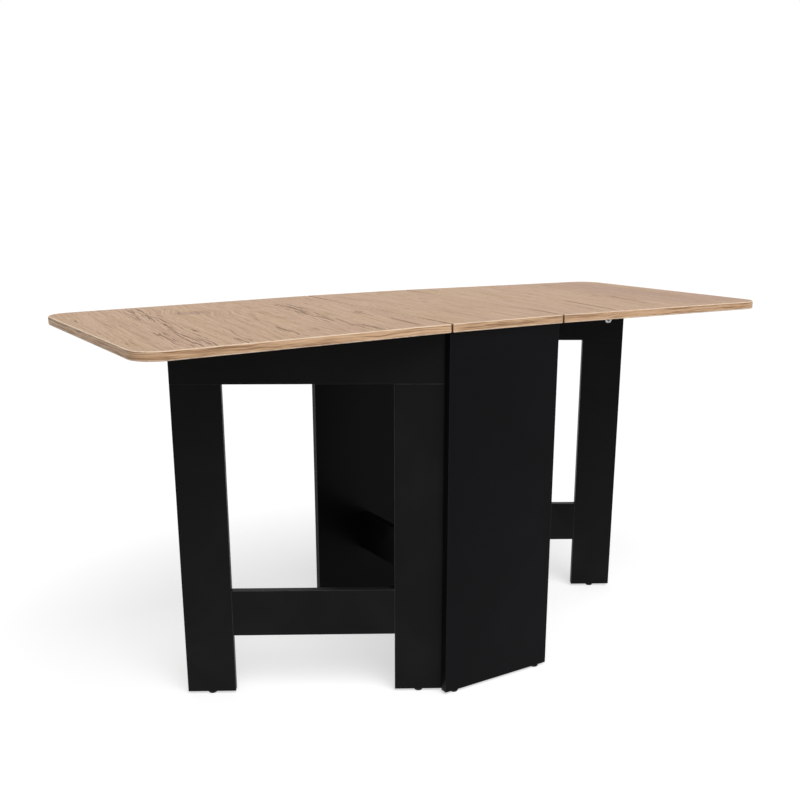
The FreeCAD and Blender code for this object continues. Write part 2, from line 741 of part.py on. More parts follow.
for side, frame in (("left", LEFT_LEAF), ("right", RIGHT_LEAF)):
    label = side + "_leaf"
    finish_copy(label, leaf, frame)
    finish_copy(label + "_edge_band", leaf_band, frame)
    finish_copies(label + "_hinge_plates", leaf_hinge_moving, leaf_hinges, frame)
    screws = copies(label + "_hinge_screw", screw, leaf_screws)
    screws += copies(label + "_stop_screw", stop_screw_pair, [STOP_FRAME])
    finish_node(label + "_screws", screws, frame)
    finish_copies(label + "_stop", stop, [STOP_FRAME], frame)

# Gates. The origin is on the hinge pin at floor level, +X runs out along the gate and -Y goes
# through its boards from the outer face to the inner one.

gate_hinges = []
gate_screws = []
for z in gate_hinge_rows:
    gate_hinges.append((("0", "0", z), ("-90", "0", "180")))
    for screw_z in three_along(z, "Size.gate_screw_pitch"):
        at = ("Plan.gate_barrel_radius - Size.hinge_plate", "-Plan.gate_screw_row", screw_z)
        gate_screws.append((at, TO_X))

cam_z = "Plan.gate_joint + Size.gate_cam_setback"
top_rail_cams = [
    (("Plan.inner_cam_x", "Plan.gate_inner_face", cam_z), ("90", "90", "0")),
    (("Plan.outer_cam_x", "Plan.gate_inner_face", cam_z), ("90", "90", "0")),
]
gate_dowels = [
    (("Plan.inner_cam_x + Size.dowel_pitch", "Plan.gate_mid", "Plan.gate_joint"), TO_MINUS_Z),
    (("Plan.outer_cam_x - Size.dowel_pitch", "Plan.gate_mid", "Plan.gate_joint"), TO_MINUS_Z),
]
for z in ("Plan.gate_rail_mid - Size.dowel_pitch", "Plan.gate_rail_mid + Size.dowel_pitch"):
    gate_dowels.append((("Plan.gate_window_start", "Plan.gate_mid", z), TO_X))
    gate_dowels.append((("Plan.gate_window_end", "Plan.gate_mid", z), TO_MINUS_X))
gate_glides = [
    (("Plan.gate_start + Size.gate_leg_width / 2", "Plan.gate_mid", "Size.glide_height"), TO_Z),
    (("Plan.gate_end - Size.gate_leg_width / 2", "Plan.gate_mid", "Size.glide_height"), TO_Z),
]

gate_drills = copies("Gate_screw_drill", screw_drill, gate_screws)
gate_drills += copies("Gate_dowel_drill", dowel_drill, gate_dowels)
gate_drills += copies("Gate_top_cam_drill", gate_cam_drill, top_rail_cams)
gate_drills += copies("Gate_glide_drill", glide_drill, gate_glides)

leg_height = "Plan.gate_joint - Size.glide_height"
gate_boards = {
    "top_rail": board("Gate_top_rail", "Plan.gate_length", "Size.board", "Size.gate_rail_height",
                      ("Plan.gate_start", "Plan.gate_inner_face", "Plan.gate_joint")),
    "outer_leg": board("Gate_outer_leg", "Size.gate_leg_width", "Size.board", leg_height,
                       ("Plan.gate_window_end", "Plan.gate_inner_face", "Size.glide_height")),
    "inner_leg": board("Gate_inner_leg", "Size.gate_leg_width", "Size.board", leg_height,
                       ("Plan.gate_start", "Plan.gate_inner_face", "Size.glide_height")),
    "lower_rail": board("Gate_lower_rail", "Plan.gate_window_end - Plan.gate_window_start", "Size.board",
                        "Size.gate_rail_height",
                        ("Plan.gate_window_start", "Plan.gate_inner_face", "Size.gate_rail_z")),
}
drilled_boards = {}
for name, blank in gate_boards.items():
    drilled_boards[name] = cut("Drilled_" + name, blank, gate_drills)

for side, frame in (("left", LEFT_GATE), ("right", RIGHT_GATE)):
    label = side + "_gate"
    for name, drilled in drilled_boards.items():
        finish_copy("%s_%s" % (label, name), drilled, frame)
    finish_copies(label + "_hinge_plates", gate_hinge_moving, gate_hinges, frame)
    finish_copies(label + "_hinge_screws", screw, gate_screws, frame)
    finish_copies(label + "_cams", cam, top_rail_cams, frame)
    finish_copies(label + "_cam_bolts", gate_bolt, top_rail_cams, frame)
    finish_copies(label + "_dowels", dowel, gate_dowels, frame)
    finish_copies(label + "_glides", glide, gate_glides, frame)

# Check every object and write each sub-part to its own file

doc.recompute()
for thing in doc.Objects:
    if "Invalid" in thing.State or "Error" in thing.State:
        raise RuntimeError("%s failed to compute" % thing.Name)
for node in nodes:
    if node.Shape.isNull() or not node.Shape.isValid() or not node.Shape.Solids:
        raise RuntimeError("%s has no valid solid" % node.Label)

os.makedirs("parts", exist_ok=True)
for node in nodes:
    node.Shape.exportStep("parts/%s.step" % node.Label)
    print("%-34s %3d solids %12.1f mm3" % (node.Label, len(node.Shape.Solids), node.Shape.Volume))
print("%d sub-parts, leaf droop %.2f degrees" % (len(nodes), number("Plan.droop / 1 deg")))
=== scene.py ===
import json
import math

import bmesh
import bpy
from mathutils import Matrix, Vector


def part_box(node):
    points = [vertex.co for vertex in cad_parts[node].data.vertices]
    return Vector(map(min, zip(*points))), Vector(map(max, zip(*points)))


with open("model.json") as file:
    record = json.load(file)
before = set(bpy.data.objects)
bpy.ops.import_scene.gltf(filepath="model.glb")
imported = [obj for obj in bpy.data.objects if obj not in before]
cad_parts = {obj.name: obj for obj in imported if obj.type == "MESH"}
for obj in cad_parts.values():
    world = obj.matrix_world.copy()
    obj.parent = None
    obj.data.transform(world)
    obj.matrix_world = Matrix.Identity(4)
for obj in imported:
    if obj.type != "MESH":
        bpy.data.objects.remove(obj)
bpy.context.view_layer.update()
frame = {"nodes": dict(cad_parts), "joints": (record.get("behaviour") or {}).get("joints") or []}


# helpers for things that stand in the scene
def addObject(name, data):
    thing = bpy.data.objects.new(name, data)
    bpy.context.scene.collection.objects.link(thing)
    return thing


def turned(degrees, axis):
    return Matrix.Rotation(math.radians(degrees), 4, axis)


# camera, at the photograph's place and framing
cameraView = {
    "place": (-1.1890, -1.8018, 0.9886),
    "yaw": 32.73,  # degrees from +Y towards +X
    "pitch": 16.11,  # degrees below level
    "roll": 0.17,
    "focalPixels": 1015.0,
    "axisPixel": (412.6, 479.8),  # where the lens axis meets the picture
    "framePixels": 800,
    "sensor": 36.0,  # millimetres
}


def makeCamera(view):
    data = bpy.data.cameras.new("camera")
    data.sensor_width = view["sensor"]
    data.lens = view["focalPixels"] * view["sensor"] / view["framePixels"]
    middle = view["framePixels"] / 2
    data.shift_x = (middle - view["axisPixel"][0]) / view["framePixels"]
    data.shift_y = (view["axisPixel"][1] - middle) / view["framePixels"]
    camera = addObject("camera", data)
    # a camera that isn't turned looks straight down
    aim = turned(-view["yaw"], "Z") @ turned(90 - view["pitch"], "X") @ turned(view["roll"], "Z")
    camera.matrix_world = Matrix.Translation(view["place"]) @ aim
    bpy.context.scene.camera = camera


makeCamera(cameraView)
print("camera set")


# node helpers shared by every finish
def plug(tree, socket, value):
    if isinstance(value, bpy.types.NodeSocket):
        tree.links.new(value, socket)
    elif isinstance(value, tuple) and len(value) == 3 and len(socket.default_value) == 4:
        socket.default_value = value + (1.0,)  # a colour gets its alpha
    else:
        socket.default_value = value


def addNode(tree, kind, sockets=None, **settings):
    node = tree.nodes.new(kind)
    for name, value in settings.items():
        setattr(node, name, value)
    for name, value in (sockets or {}).items():
        plug(tree, node.inputs[name], value)
    return node


def emptyTree(owner):
    owner.use_nodes = True
    owner.node_tree.nodes.clear()
    return owner.node_tree


def startMaterial(name):
    material = bpy.data.materials.new(name)
    tree = emptyTree(material)
    shader = addNode(tree, "ShaderNodeBsdfPrincipled")
    addNode(tree, "ShaderNodeOutputMaterial", {"Surface": shader.outputs["BSDF"]})
    return material, tree, shader


def objectSpot(tree):
    return addNode(tree, "ShaderNodeTexCoord").outputs["Object"]


def surfaceNormal(tree):
    return addNode(tree, "ShaderNodeTexCoord").outputs["Normal"]


def stretch(tree, spot, scale, shift=(0, 0, 0), turn=0):
    sockets = {"Vector": spot, "Scale": scale, "Location": shift, "Rotation": (0, 0, turn)}
    return addNode(tree, "ShaderNodeMapping", sockets).outputs["Vector"]


def noise(tree, spot, scale=1.0, detail=2.0, rough=0.5, bend=0.0):
    sockets = {"Vector": spot, "Scale": scale, "Detail": detail, "Roughness": rough, "Distortion": bend}
    return addNode(tree, "ShaderNodeTexNoise", sockets).outputs["Fac"]


def grained(tree, spot, cells, shift=(0, 0, 0), **detail):
    return noise(tree, stretch(tree, spot, cells, shift), **detail)


def calc(tree, operation, *values):
    sockets = {place: value for place, value in enumerate(values)}
    return addNode(tree, "ShaderNodeMath", sockets, operation=operation).outputs["Value"]


def size(tree, value):
    return calc(tree, "ABSOLUTE", value)


def swayed(tree, value, pattern, reach):
    fromMiddle = calc(tree, "SUBTRACT", pattern, 0.5)  # noise lies about a half
    return calc(tree, "MULTIPLY_ADD", fromMiddle, reach, value)


def distance(tree, across, along):
    squares = calc(tree, "MULTIPLY_ADD", across, across, calc(tree, "MULTIPLY", along, along))
    return calc(tree, "SQRT", squares)


def ease(tree, value, low, high, start=0.0, end=1.0):
    sockets = {"Value": value, "From Min": low, "From Max": high, "To Min": start, "To Max": end}
    return addNode(tree, "ShaderNodeMapRange", sockets, interpolation_type="SMOOTHSTEP").outputs["Result"]


def blendColours(tree, share, first, second):
    sockets = {0: share, 6: first, 7: second}  # 6 and 7 are the mix node's colours
    return addNode(tree, "ShaderNodeMix", sockets, data_type="RGBA").outputs[2]


def toneRamp(tree, share, finish):
    node = addNode(tree, "ShaderNodeValToRGB", {"Fac": share})
    stops = [(0.0, "pale"), (0.5, "middle"), (1.0, "deep")]
    elements = node.color_ramp.elements
    while len(elements) < len(stops):
        elements.new(0.5)
    for element, (place, tone) in zip(elements, stops):
        element.position = place
        element.color = finish[tone] + (1.0,)
    return node.outputs["Color"]


def parts(tree, vector):
    node = addNode(tree, "ShaderNodeSeparateXYZ", {"Vector": vector})
    return node.outputs["X"], node.outputs["Y"], node.outputs["Z"]


def joined(tree, x, y, z):
    return addNode(tree, "ShaderNodeCombineXYZ", {"X": x, "Y": y, "Z": z}).outputs["Vector"]


def relief(tree, height, depth, strength):
    sockets = {"Height": height, "Distance": depth, "Strength": strength}
    return addNode(tree, "ShaderNodeBump", sockets).outputs["Normal"]


def dress(tree, shader, colour, roughness, normal):
    plug(tree, shader.inputs["Base Color"], colour)
    plug(tree, shader.inputs["Roughness"], roughness)
    plug(tree, shader.inputs["Normal"], normal)


def coat(node, material):
    slots = frame["nodes"][node].data.materials
    slots.clear()
    slots.append(material)


# oak-print laminate, grain along Y
oakLaminate = {
    "pale": (0.575, 0.392, 0.266),
    "middle": (0.490, 0.322, 0.213),
    "deep": (0.365, 0.226, 0.142),
    "pinkCast": (0.515, 0.330, 0.238),
    "yellowCast": (0.505, 0.340, 0.190),
    "dashSideHighlight": (0.690, 0.490, 0.340),
    "smudgeAndShade": (0.300, 0.186, 0.140),
    "crack": (0.130, 0.074, 0.044),
    "gloss": 0.12,
    # patterns, in noise cells for each metre across and along; the third number lets the seed through
    "waver": {"cells": (16.0, 14.0, 0.0)},
    "wander": {"cells": (3.0, 2.2, 0.0)},
    "broad": {"cells": (13.0, 1.8, 1.0)},
    "bands": {"cells": (70.0, 2.6, 1.0), "detail": 3.0, "rough": 0.55},
    "lines": {"cells": (330.0, 7.0, 1.0), "detail": 3.0, "rough": 0.6},
    "pores": {"cells": (900.0, 45.0, 1.0), "rough": 0.6},
    "dashes": {"cells": (230.0, 12.0, 1.0), "shift": (0.0, 4.0, 2.0), "detail": 1.0},
    "dashHighlightNoise": {"cells": (230.0, 12.0, 1.0), "shift": (0.5, 4.0, 2.0), "detail": 1.0},
    # how far the marks, and the grain with them, sway across
    "waverReach": 0.007,
    "wanderReach": 0.030,
    # the trunk under the board: its slope, its depth at the heart, its rings in radians for each metre
    "trunkSlope": 0.11,
    "trunkDepth": 0.045,
    "ringPhase": 620.0,
    "ringWaver": 9.0,
    # shares of the tone, and of the cast over it
    "bandShare": 0.40,
    "lineShare": 0.56,
    "ringShare": 0.08,
    "castShare": 0.30,
    # ranges: from and to in the pattern, then what they become where that isn't 0 and 1
    "knotBend": (0.0, 2.0, 0.5, 0.0),  # in half sizes of the knot
    "knotFade": (0.1, 1.0),
    "ringRange": (-0.6, 1.0),
    "toneRange": (0.28, 0.74),
    "castRange": (0.35, 0.65),
    "smudgeRange": (0.35, 0.65, 0.55, 0.95),
    "bundleLift": 0.20,  # how much likelier a bundle makes its dashes
    "fleckRange": (0.72, 0.80, 0.0, 0.75),
    "dashRange": (0.700, 0.775, 0.0, 0.84),
    "dashBreaks": (0.40, 0.60, 0.62, 1.0),
    "crackRange": (0.25, 0.60, 0.35, 0.85),
    "poreRange": (0.56, 0.70, 0.0, 0.42),
    "roughRange": (0.3, 0.7, 0.46, 0.58),
    "markRough": 0.2,  # the marks are rougher by this
    "lineHeight": 0.35,  # against the depth of the marks
    "relief": (0.0003, 0.5),  # depth in metres, strength
}
markFade = {
    # shares of a mark's half width and half length between which it fades out
    "width": (0.3, 1.0),
    "length": (0.75, 1.1),
}
oakBoards = {
    # lean: how far the grain runs across for each metre along
    # heart: the place (across, along) below which the trunk's middle lies at its set depth
    # each knot: middle, half width and half length, strength
    # each other mark: start and end (across, along), half width, strength
    "centre_top": {
        "seed": 3.1,
        "lean": 0.02,
        "heart": (0.060, 0.100),
        "knots": [],
        "bundles": [
            ((0.028, 0.260), (0.034, 0.020), 0.010, 0.50),
            ((-0.070, 0.020), (-0.074, -0.280), 0.007, 0.50),
        ],
        "cracks": [
            ((-0.059, 0.190), (-0.062, 0.105), 0.0020, 0.60),
            ((0.090, 0.080), (0.086, -0.060), 0.0018, 0.40),
        ],
        "smudgesAndShade": [((-0.085, 0.240), (-0.080, 0.120), 0.014, 0.30)],
    },
    "left_leaf": {
        "seed": 7.4,
        "lean": 0.09,
        "heart": (-0.360, -0.200),
        "knots": [((-0.464, 0.139), (0.052, 0.040), 1.00)],
        "bundles": [
            ((-0.556, 0.290), (-0.562, -0.030), 0.040, 1.00),
            ((-0.562, -0.010), (-0.594, -0.290), 0.036, 1.00),
            ((-0.600, -0.080), (-0.622, -0.290), 0.036, 0.70),
            ((-0.256, 0.190), (-0.280, -0.040), 0.038, 1.15),
            ((-0.282, -0.030), (-0.302, -0.140), 0.028, 1.05),
            ((-0.284, -0.180), (-0.268, -0.290), 0.020, 1.15),
            ((-0.406, -0.140), (-0.416, -0.290), 0.018, 1.10),
            ((-0.506, -0.060), (-0.524, -0.290), 0.026, 0.50),
            ((-0.186, -0.020), (-0.184, -0.140), 0.014, 0.85),
        ],
        "cracks": [
            ((-0.266, -0.090), (-0.287, -0.200), 0.0026, 0.95),
            ((-0.181, -0.150), (-0.187, -0.268), 0.0034, 1.00),
            ((-0.568, -0.020), (-0.590, -0.140), 0.0020, 0.70),
            ((-0.262, 0.130), (-0.272, 0.030), 0.0026, 0.90),
            ((-0.176, -0.020), (-0.178, -0.045), 0.0030, 0.60),
            ((-0.346, -0.180), (-0.350, -0.270), 0.0016, 0.50),
        ],
        "smudgesAndShade": [((-0.262, 0.140), (-0.278, 0.000), 0.018, 0.45)],
    },
    "right_leaf": {
        "seed": 11.8,
        "lean": 0.14,
        "heart": (0.500, 0.050),
        "knots": [],
        "bundles": [
            ((0.452, 0.000), (0.476, -0.150), 0.012, 0.60),
            ((0.330, 0.260), (0.340, 0.060), 0.010, 0.50),
        ],
        "cracks": [
            ((0.314, -0.075), (0.286, -0.274), 0.0044, 0.95),
            ((0.482, -0.040), (0.440, -0.210), 0.0044, 0.85),
            ((0.600, 0.040), (0.612, -0.090), 0.0024, 0.40),
        ],
        "smudgesAndShade": [
            # a broad darker zone over the leaf's far part, painted shade where the light falls off
            ((0.560, 0.290), (0.620, -0.290), 0.150, 0.50),
            ((0.312, -0.085), (0.286, -0.274), 0.012, 0.45),
        ],
    },
}


def markZone(tree, x, y, mark):
    (startX, startY), (endX, endY), halfWidth, strength = mark
    lean = (endX - startX) / (endY - startY)
    halfLength = abs(startY - endY) / 2
    line = calc(tree, "MULTIPLY_ADD", y, lean, startX - lean * startY)
    sideways = size(tree, calc(tree, "SUBTRACT", x, line))
    lengthways = size(tree, calc(tree, "SUBTRACT", y, (startY + endY) / 2))
    widthFade = [share * halfWidth for share in markFade["width"]]
    lengthFade = [share * halfLength for share in markFade["length"]]
    inWidth = ease(tree, sideways, *widthFade, strength, 0.0)
    inLength = ease(tree, lengthways, *lengthFade, 1.0, 0.0)
    return calc(tree, "MULTIPLY", inWidth, inLength)


def allZones(tree, x, y, marks):
    zone = 0.0
    for mark in marks:
        zone = calc(tree, "MAXIMUM", zone, markZone(tree, x, y, mark))
    return zone


def knotReach(tree, x, y, middle, half):
    across = calc(tree, "DIVIDE", calc(tree, "SUBTRACT", x, middle[0]), half[0])
    along = calc(tree, "DIVIDE", calc(tree, "SUBTRACT", y, middle[1]), half[1])
    return distance(tree, across, along)


def runGrain(tree, board, finish):
    # where the marks and the grain lie across the board, and the knots that the grain runs round
    spot = objectSpot(tree)
    x, y = parts(tree, spot)[:2]
    seedShift = (board["seed"], 0, 0)
    waver = grained(tree, spot, shift=seedShift, **finish["waver"])
    markX = swayed(tree, x, waver, finish["waverReach"])
    wander = grained(tree, spot, shift=seedShift, **finish["wander"])
    grainX = swayed(tree, markX, wander, finish["wanderReach"])
    grainX = calc(tree, "MULTIPLY_ADD", y, -board["lean"], grainX)
    knotMarks = 0.0
    for middle, half, strength in board["knots"]:
        away = knotReach(tree, markX, y, middle, half)
        bend = ease(tree, away, *finish["knotBend"])
        aside = calc(tree, "MULTIPLY", calc(tree, "SUBTRACT", x, middle[0]), bend)
        grainX = calc(tree, "SUBTRACT", grainX, aside)
        knot = ease(tree, away, *finish["knotFade"], strength, 0.0)
        knotMarks = calc(tree, "MAXIMUM", knotMarks, knot)
    return markX, grainX, y, knotMarks


def trunkRings(tree, grainX, y, bands, board, finish):
    # growth rings of a trunk that lies a little askew under the board give the arched figure
    heartX, heartY = board["heart"]
    along = calc(tree, "SUBTRACT", y, heartY)
    deep = calc(tree, "MULTIPLY_ADD", along, finish["trunkSlope"], finish["trunkDepth"])
    radius = distance(tree, calc(tree, "SUBTRACT", grainX, heartX), deep)
    waver = calc(tree, "MULTIPLY", bands, finish["ringWaver"])
    phase = calc(tree, "MULTIPLY_ADD", radius, finish["ringPhase"], waver)
    return ease(tree, calc(tree, "SINE", phase), *finish["ringRange"])


def makeOak(name, board, finish):
    material, tree, shader = startMaterial(name)
    markX, grainX, y, knotMarks = runGrain(tree, board, finish)
    grain = joined(tree, grainX, y, board["seed"])
    broad = grained(tree, grain, **finish["broad"])
    bands = grained(tree, grain, **finish["bands"])
    lines = grained(tree, grain, **finish["lines"])
    pores = grained(tree, grain, **finish["pores"])
    dashes = grained(tree, grain, **finish["dashes"])
    dashHighlightNoise = grained(tree, grain, **finish["dashHighlightNoise"])
    rings = trunkRings(tree, grainX, y, bands, board, finish)

    tone = calc(tree, "MULTIPLY", lines, finish["lineShare"])
    tone = calc(tree, "MULTIPLY_ADD", bands, finish["bandShare"], tone)
    tone = calc(tree, "MULTIPLY_ADD", rings, finish["ringShare"], tone)
    colour = toneRamp(tree, ease(tree, tone, *finish["toneRange"]), finish)
    yellow = ease(tree, broad, *finish["castRange"])
    cast = blendColours(tree, yellow, finish["pinkCast"], finish["yellowCast"])
    colour = blendColours(tree, finish["castShare"], colour, cast)
    # smudges and knots darken the tone; the right leaf's broad zone among them is painted shade
    smudgeAndShade = calc(tree, "MAXIMUM", allZones(tree, markX, y, board["smudgesAndShade"]), knotMarks)
    smudgeAndShade = calc(tree, "MULTIPLY", smudgeAndShade, ease(tree, bands, *finish["smudgeRange"]))
    colour = blendColours(tree, smudgeAndShade, colour, finish["smudgeAndShade"])

    # bundles of dark dashes with a pale side that is a painted highlight on the pores' lips, a few long
    # cracks, and open pores everywhere
    bundle = allZones(tree, markX, y, board["bundles"])
    # painted highlight: pale flecks beside the dashes stand for the pores' lips catching the light
    flecks = calc(tree, "MULTIPLY_ADD", bundle, finish["bundleLift"], dashHighlightNoise)
    flecks = calc(tree, "MULTIPLY", bundle, ease(tree, flecks, *finish["fleckRange"]))
    colour = blendColours(tree, flecks, colour, finish["dashSideHighlight"])
    dashMarks = calc(tree, "MULTIPLY_ADD", bundle, finish["bundleLift"], dashes)
    dashMarks = ease(tree, dashMarks, *finish["dashRange"])
    dashMarks = calc(tree, "MULTIPLY", dashMarks, ease(tree, pores, *finish["dashBreaks"]))
    crackMarks = allZones(tree, markX, y, board["cracks"])
    crackMarks = calc(tree, "MULTIPLY", crackMarks, ease(tree, lines, *finish["crackRange"]))
    poreMarks = ease(tree, pores, *finish["poreRange"])
    marks = calc(tree, "MAXIMUM", calc(tree, "MAXIMUM", dashMarks, crackMarks), poreMarks)
    colour = blendColours(tree, marks, colour, finish["crack"])

    roughness = ease(tree, lines, *finish["roughRange"])
    roughness = calc(tree, "MULTIPLY_ADD", marks, finish["markRough"], roughness)
    height = calc(tree, "SUBTRACT", calc(tree, "MULTIPLY", lines, finish["lineHeight"]), marks)
    dress(tree, shader, colour, roughness, relief(tree, height, *finish["relief"]))
    shader.inputs["Specular IOR Level"].default_value = finish["gloss"]
    return material


for nodeName, board in oakBoards.items():
    coat(nodeName, makeOak("oak " + nodeName, board, oakLaminate))
print("oak boards finished")

# oak-print edge band: the print runs along the edge, and the rounded-over lips show the paler core; the
# band's tones are paler than the top's, partly its own print and partly painted light that lifts its upright
# faces to the top's brightness
oakBand = {
    # paler than the top's tones: partly the band's own print, partly painted light for the upright faces
    "pale": (0.755, 0.505, 0.322),
    "middle": (0.614, 0.388, 0.231),
    "deep": (0.272, 0.148, 0.074),
    "core": (0.800, 0.650, 0.500),
    # the lower lip's core is paler than the upper one's: partly the trimmed core, partly painted light for
    # the little light under the board
    "lowCoreWithPaintedLight": (0.950, 0.740, 0.560),
    # painted shade inside the seams between the boards: in the slot, near the seam's ends, and in its middle
    "slotShade": (0.260, 0.120, 0.036),
    "seamEndShade": (0.340, 0.205, 0.115),
    "seamMiddleShade": (0.520, 0.350, 0.225),
    "gloss": 0.2,
    # patterns, in noise cells for each metre
    "wander": {"cells": (9.0, 9.0, 9.0)},
    "layers": {"cells": (5.0, 5.0, 380.0), "detail": 3.0, "rough": 0.6},
    "lines": {"cells": (22.0, 22.0, 620.0), "detail": 2.0, "rough": 0.6},
    "rubbed": {"scale": 70.0, "detail": 3.0, "rough": 0.6},
    "wanderReach": 0.014,
    "layerShare": 0.55,
    "lineShare": 0.45,
    # ranges in metres between which one look turns into another
    "seamEnds": (0.14, 0.22),  # from the middle of the depth, where the seam turns from pale to dark
    "seamReach": (0.1355, 0.1365),  # the hinge edges lie nearer to the middle than this
    "lowLip": (0.0013, 0.0026),  # above the underside
    "slotDepth": (0.006, 0.002),  # below the top, where the seam turns from hinge edge to top
    # ranges in a pattern or in the surface's direction
    "toneRange": (0.34, 0.65),
    "wearRange": (0.35, 0.60, 0.55, 0.95),
    "seamFacing": (0.0, 0.1),
    "cornerFacing": (0.2, 0.5),
    "lipFacing": (0.05, 0.40),
    "roughRange": (0.3, 0.7, 0.42, 0.54),
    "relief": (0.0002, 0.4),
}
leafLow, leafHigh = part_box("right_leaf_edge_band")
centreLow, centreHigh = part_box("centre_top_edge_band")
boardThick = centreHigh[2] - centreLow[2]
leafDrop = (leafHigh[2] - leafLow[2] - boardThick) / (leafHigh[0] - leafLow[0])


def makeBand(name, finish):
    material, tree, shader = startMaterial(name)
    spot = objectSpot(tree)
    x, y, z = parts(tree, spot)
    fromMiddle = size(tree, x)
    onLeaf = calc(tree, "MAXIMUM", calc(tree, "SUBTRACT", fromMiddle, leafLow[0]), 0.0)
    level = calc(tree, "MULTIPLY_ADD", onLeaf, leafDrop, z)  # height as if the leaves were dead level
    wander = grained(tree, spot, **finish["wander"])
    grain = joined(tree, x, y, calc(tree, "MULTIPLY_ADD", wander, finish["wanderReach"], level))
    layers = grained(tree, grain, **finish["layers"])
    lines = grained(tree, grain, **finish["lines"])
    tone = calc(tree, "MULTIPLY", lines, finish["lineShare"])
    tone = calc(tree, "MULTIPLY_ADD", layers, finish["layerShare"], tone)
    colour = toneRamp(tree, ease(tree, tone, *finish["toneRange"]), finish)

    # pale lips along the outer edges and down the square corners, none along the hinge edges
    nx, ny, nz = parts(tree, surfaceNormal(tree))
    sideX = size(tree, nx)
    sideY = size(tree, ny)
    nearSeam = ease(tree, fromMiddle, *finish["seamReach"], 1.0, 0.0)
    facesSeam = ease(tree, calc(tree, "SUBTRACT", sideX, sideY), *finish["seamFacing"])
    alongSeam = calc(tree, "MULTIPLY", nearSeam, facesSeam)
    elsewhere = calc(tree, "SUBTRACT", 1.0, alongSeam)
    wear = ease(tree, noise(tree, spot, **finish["rubbed"]), *finish["wearRange"])
    facesCorner = ease(tree, calc(tree, "MINIMUM", sideX, sideY), *finish["cornerFacing"])
    corner = calc(tree, "MULTIPLY", nearSeam, facesCorner)
    lip = calc(tree, "MULTIPLY", ease(tree, nz, *finish["lipFacing"]), elsewhere)
    lip = calc(tree, "MULTIPLY", calc(tree, "MAXIMUM", lip, corner), wear)
    colour = blendColours(tree, lip, colour, finish["core"])
    # lower lip: the paler core, partly painted light where little light reaches the underside
    lowLipHeights = [centreLow[2] + height for height in finish["lowLip"]]
    lowLip = ease(tree, level, *lowLipHeights, 1.0, 0.0)
    lowLip = calc(tree, "MULTIPLY", calc(tree, "MULTIPLY", lowLip, elsewhere), wear)
    colour = blendColours(tree, lowLip, colour, finish["lowCoreWithPaintedLight"])

    # painted shade on the hinge edges: darker inside the slot, and paler in the middle of the seam's length
    slotHeights = [centreHigh[2] - depth for depth in finish["slotDepth"]]
    inSlot = ease(tree, level, *slotHeights, 1.0, 0.0)
    nearEnds = ease(tree, size(tree, y), *finish["seamEnds"])
    seamEndShade = blendColours(tree, nearEnds, finish["seamMiddleShade"], finish["seamEndShade"])
    seamShade = blendColours(tree, inSlot, seamEndShade, finish["slotShade"])
    colour = blendColours(tree, alongSeam, colour, seamShade)

    roughness = ease(tree, lines, *finish["roughRange"])
    dress(tree, shader, colour, roughness, relief(tree, tone, *finish["relief"]))
    shader.inputs["Specular IOR Level"].default_value = finish["gloss"]
    return material


bandFinish = makeBand("oak edge band", oakBand)
for nodeName in ("centre_top_edge_band", "left_leaf_edge_band", "right_leaf_edge_band"):
    coat(nodeName, bandFinish)
print("edge bands finished")

# satin black board, with a fine moulded grain, faint smears, and pale arrises that are partly wear and
# partly painted highlight
blackBoard = {
    "face": 0.0078,
    "smear": 0.0108,
    "arris": 0.072,
    # patterns, in noise cells for each metre
    "speck": {"scale": 1400.0, "rough": 0.6},
    "smears": {"scale": 5.0, "detail": 4.0, "rough": 0.55, "bend": 0.8},
    "rubbed": {"scale": 38.0, "detail": 3.0, "rough": 0.6},
    "smearRange": (0.40, 0.75),
    "arrisFacing": (0.80, 0.97, 1.0, 0.0),  # how square the surface lies to the board
    "wearRange": (0.3, 0.7, 0.4, 1.0),
    "roughRange": (0.3, 0.7, 0.30, 0.38),
    "relief": (0.00004, 0.5),
}
jointLows = {joint["name"]: joint["range_deg"][0] for joint in frame["joints"]}
foldedYaw = 270.0  # degrees: the folded right gate's own +X axis points along -Y
gateYaw = math.radians(foldedYaw - jointLows["right_gate_hinge"])  # the same axis with the gate open
gateAcross = (-math.sin(gateYaw), math.cos(gateYaw), 0.0)  # straight through the open gate's boards
gateBoards = ["%s_gate_%s" % (side, board) for side in ("left", "right")
              for board in ("top_rail", "outer_leg", "inner_leg", "lower_rail")]
blackShadeCopies = {
    # turn that squares the boards up, strength of the greys (the pedestal's weaker greys make a darker copy
    # of the same black, painted shade), blue against red, gloss, nodes
    "black pedestal": {
        "turn": 0.0,
        "level": 0.30,
        "cool": 1.30,
        "gloss": 0.064,
        "nodes": ["front_end_panel", "rear_end_panel", "lower_stretcher", "upper_stretcher"],
    },
    "black gates": {
        "turn": -gateYaw,
        "level": 1.00,
        "cool": 1.03,
        "gloss": 0.045,
        "nodes": gateBoards,
    },
}


